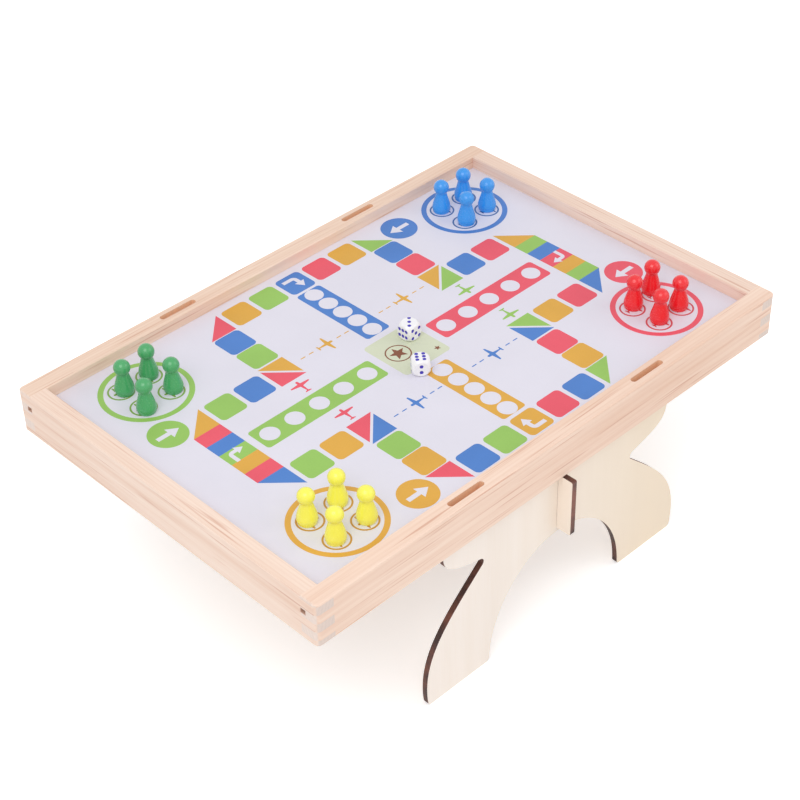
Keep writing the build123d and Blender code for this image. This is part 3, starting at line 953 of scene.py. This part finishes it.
class RACE_OT_pawns(bpy.types.Operator):
    """Turn the sixteen pawns and stand them where the solids stand"""
    bl_idname = "race.pawns"
    bl_label = "Pawns"

    def execute(self, context):
        for colour in PAWN_COLOURS:
            finish = lacquer(f"lacquer_{colour}", getattr(context.scene.race_pawns, colour))
            for number in range(1, PAWNS_PER_COLOUR + 1):
                node = f"pawn_{colour}_{number}"
                low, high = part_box(node)
                mesh = turned_mesh(f"{node}_turned", pawn_profile(high.z - low.z))
                piece = link_mesh(f"{node}_turned", mesh, [finish])
                piece.location = ((low.x + high.x) / 2, (low.y + high.y) / 2, low.z)
                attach(piece, node)
                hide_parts(node)
        return {"FINISHED"}


class RACE_OT_dice(bpy.types.Operator):
    """Make the two dice, with dished and painted pips"""
    bl_idname = "race.dice"
    bl_label = "Dice"

    def execute(self, context):
        form = context.scene.race_dice
        body = die_plastic("die_white", form.body, 0.26)
        paint = die_plastic("die_pip_paint", form.pip, 0.4)
        for node, turn, numbers in DICE:
            low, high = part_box(node)
            mesh = die_mesh(f"{node}_cast", high.z - low.z, numbers)
            piece = link_mesh(f"{node}_cast", mesh, [body, paint])
            piece.location = (low + high) / 2
            piece.rotation_euler.z = math.radians(turn)
            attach(piece, node)
            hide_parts(node)
        return {"FINISHED"}


class RACE_OT_stage(bpy.types.Operator):
    """Lay the pale floor, light it softly and set up the camera"""
    bl_idname = "race.stage"
    bl_label = "Floor, light and camera"

    def execute(self, context):
        settings = context.scene.race_view
        self.lay_floor(settings)
        self.light_world(settings)
        for lamp in LAMPS:
            self.hang_lamp(*lamp)
        self.set_camera(context.scene, settings)
        context.scene.view_settings.view_transform = "Standard"
        return {"FINISHED"}

    def lay_floor(self, settings):
        """A wide pale floor that shows white to the camera and in reflections, and keeps the shadow."""
        build = bmesh.new()
        bmesh.ops.create_grid(build, x_segments=8, y_segments=8, size=FLOOR_REACH)
        mesh = bpy.data.meshes.new("floor")
        build.to_mesh(mesh)
        build.free()
        finish = Finish("floor_paint", 0.8)
        finish.shader.inputs["Specular IOR Level"].default_value = 0.1
        grain = finish.cloud((3, 3, 3), 2)
        finish.colour(finish.mix(grain, settings.floor, dimmed(settings.floor, 0.985)))
        glow = finish.sum(white_rays(finish.tree), FLOOR_GLOW, "MULTIPLY")
        finish.shader.inputs["Emission Color"].default_value = (1, 1, 1, 1)
        finish.tree.links.new(glow, finish.shader.inputs["Emission Strength"])
        floor = link_mesh("floor", mesh, [finish.material])

    def light_world(self, settings):
        """White where the camera and reflections look, and a gentler level light for the object."""
        world = bpy.data.worlds.new("soft_daylight")
        bpy.context.scene.world = world
        world.use_nodes = True
        tree = world.node_tree
        strength = tree.nodes.new("ShaderNodeMapRange")
        strength.inputs["To Min"].default_value = settings.fill
        strength.inputs["To Max"].default_value = 1.0
        tree.links.new(white_rays(tree), strength.inputs["Value"])
        background = tree.nodes["Background"]
        background.inputs["Color"].default_value = (1, 1, 1, 1)
        tree.links.new(strength.outputs["Result"], background.inputs["Strength"])

    def hang_lamp(self, name, place, size, power):
        """A large soft lamp that looks at the middle of the tray."""
        lamp = bpy.data.lights.new(name, "AREA")
        lamp.shape = "DISK"
        lamp.size = size
        lamp.energy = power
        holder = bpy.data.objects.new(name, lamp)
        bpy.context.scene.collection.objects.link(holder)
        holder.location = place
        target = Vector((0, 0, SHEET_TOP))
        holder.rotation_mode = "QUATERNION"
        holder.rotation_quaternion = (target - Vector(place)).to_track_quat("-Z", "Y")

    def set_camera(self, scene, settings):
        """The camera stands where the photographer stood."""
        azimuth, elevation = settings.azimuth, settings.elevation
        back = Vector((math.sin(azimuth) * math.cos(elevation), -math.cos(azimuth) * math.cos(elevation),
                       math.sin(elevation)))
        level = Vector((0, 0, 1)).cross(back).normalized()
        upright = back.cross(level)
        right = level * math.cos(settings.roll) + upright * math.sin(settings.roll)
        up = back.cross(right)
        data = bpy.data.cameras.new("photo_camera")
        data.sensor_width = 36.0
        data.lens = settings.lens
        data.clip_start, data.clip_end = 0.05, 30.0
        camera = bpy.data.objects.new("photo_camera", data)
        scene.collection.objects.link(camera)
        turn = Matrix((right, up, back)).transposed().to_4x4()
        camera.matrix_world = Matrix.Translation(settings.eye) @ turn
        scene.camera = camera


OPERATORS = (RACE_OT_rails, RACE_OT_stand, RACE_OT_panel, RACE_OT_track, RACE_OT_marks, RACE_OT_centre,
             RACE_OT_pawns, RACE_OT_dice, RACE_OT_stage)
SETTINGS = (("race_timber", TimberSettings), ("race_print", PrintSettings), ("race_pawns", PawnSettings),
            ("race_dice", DiceSettings), ("race_view", ViewSettings))


class RACE_PT_panel(bpy.types.Panel):
    """Lists the steps that dress the race game, and their sizes and colours"""
    bl_idname = "RACE_PT_panel"
    bl_label = "Race game"
    bl_space_type = "VIEW_3D"
    bl_region_type = "UI"
    bl_category = "Race game"

    def draw(self, context):
        for operator in OPERATORS:
            self.layout.operator(operator.bl_idname)
        for name, group in SETTINGS:
            box = self.layout.box()
            for setting in group.__annotations__:
                box.prop(getattr(context.scene, name), setting)


def register():
    """Adds the settings, the operators and the panel to Blender."""
    for name, group in SETTINGS:
        bpy.utils.register_class(group)
        setattr(bpy.types.Scene, name, bpy.props.PointerProperty(type=group))
    for operator in OPERATORS:
        bpy.utils.register_class(operator)
    bpy.utils.register_class(RACE_PT_panel)


def unregister():
    """Takes them out again."""
    bpy.utils.unregister_class(RACE_PT_panel)
    for operator in reversed(OPERATORS):
        bpy.utils.unregister_class(operator)
    for name, group in reversed(SETTINGS):
        delattr(bpy.types.Scene, name)
        bpy.utils.unregister_class(group)


def main():
    """Dresses the whole part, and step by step."""
    register()
    for operator in OPERATORS:
        group, step = operator.bl_idname.split(".")
        if getattr(getattr(bpy.ops, group), step)() != {"FINISHED"}:
            raise RuntimeError(f"{operator.bl_label} did not finish")


if __name__ == "__main__":
    main()
